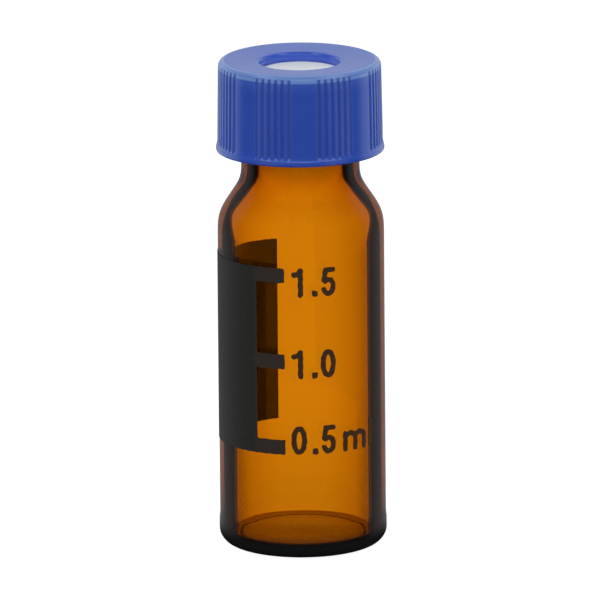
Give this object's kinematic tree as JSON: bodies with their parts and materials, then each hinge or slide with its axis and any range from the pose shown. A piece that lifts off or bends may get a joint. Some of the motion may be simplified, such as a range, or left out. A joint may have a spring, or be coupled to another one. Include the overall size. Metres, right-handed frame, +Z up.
{
  "type": "glass sample vial",
  "caption": "Small amber glass sample vial with a dark graduation print, closed by a ribbed blue screw cap with a round hole over a white septum.",
  "frame": {"origin": "middle of the base, in the plane that the vial stands on", "axes": "+Z up along the vial's axis, -Y towards the printed numbers"},
  "size_m": [0.0118, 0.0118, 0.0345],
  "materials": {
    "amber_glass": "clear amber glass, smooth and glossy",
    "charcoal_enamel": "fired charcoal enamel, satin",
    "white_septum": "soft white silicone, matt",
    "blue_plastic": "moulded blue plastic, satin"
  },
  "bodies": {
    "vial": {"vial_glass": "amber_glass", "marking_patch": "charcoal_enamel"},
    "septum": {"septum": "white_septum"},
    "cap": {"screw_cap": "blue_plastic"}
  },
  "joints": [
    {"name": "cap_lift", "type": "slide", "parent": "vial", "child": "septum", "axis": [0, 0, 1], "range_m": [0, 0.0054]},
    {"name": "cap_turn", "type": "hinge", "parent": "septum", "child": "cap", "pos_m": [0, 0, 0.0281], "axis": [0, 0, 1], "range_deg": [0, 1080]}
  ],
  "couplings": [
    {"joint": "cap_turn", "follows": "cap_lift", "rad_per_m": 3490.7}
  ]
}
